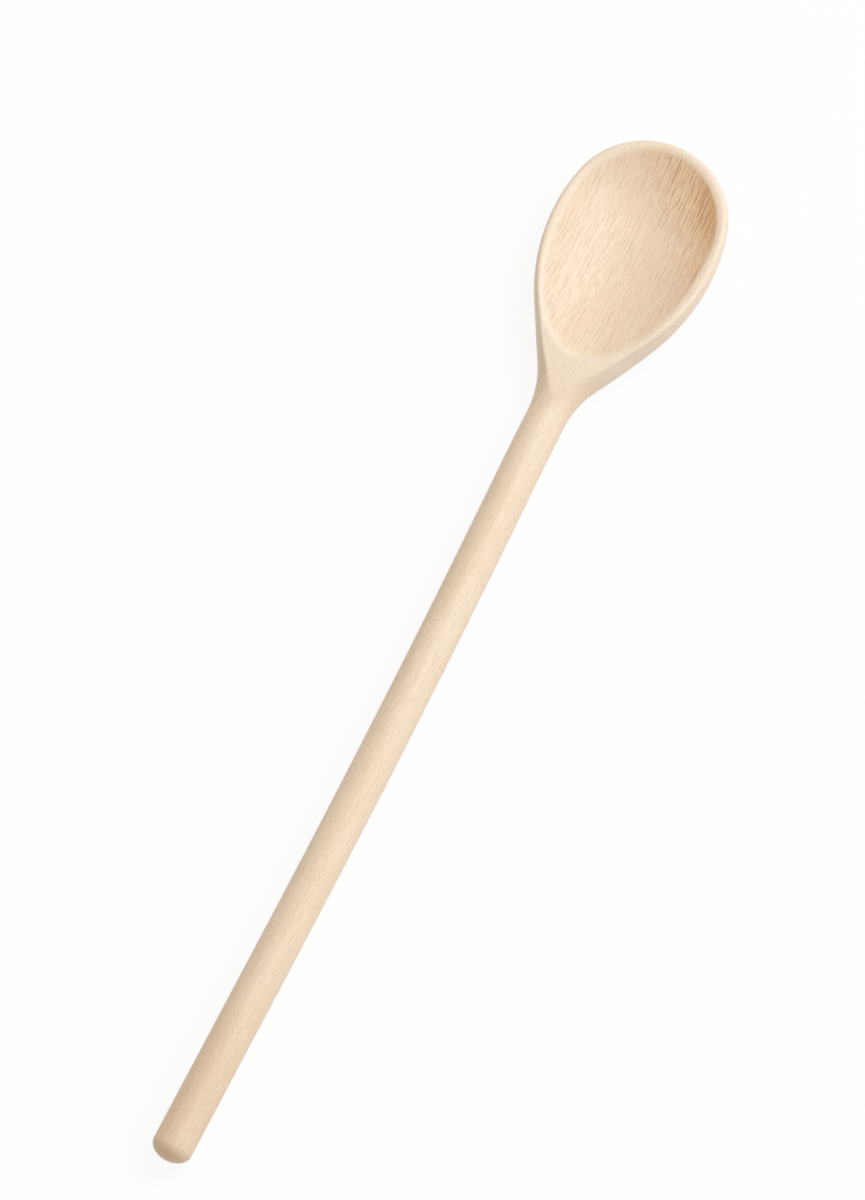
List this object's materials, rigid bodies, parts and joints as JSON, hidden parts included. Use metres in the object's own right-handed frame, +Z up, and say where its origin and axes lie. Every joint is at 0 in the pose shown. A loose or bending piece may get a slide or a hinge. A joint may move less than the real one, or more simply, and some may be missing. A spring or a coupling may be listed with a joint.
{
  "type": "wooden spoon",
  "caption": "Turned beech cooking spoon: round handle with a domed end, flared neck, and an egg-shaped head planed flat on its face with a smooth hollow for stirring and serving.",
  "frame": {"origin": "centre of the bounding box at its base, on the surface that the spoon lies on", "axes": "+X along the spoon from handle to tip, +Z up out of the hollow, +Y to the left looking towards the tip"},
  "size_m": [0.3998, 0.0612, 0.015],
  "materials": {
    "beech": "fine sanded, untreated"
  },
  "bodies": {
    "root": {"spoon": "beech"}
  },
  "joints": []
}
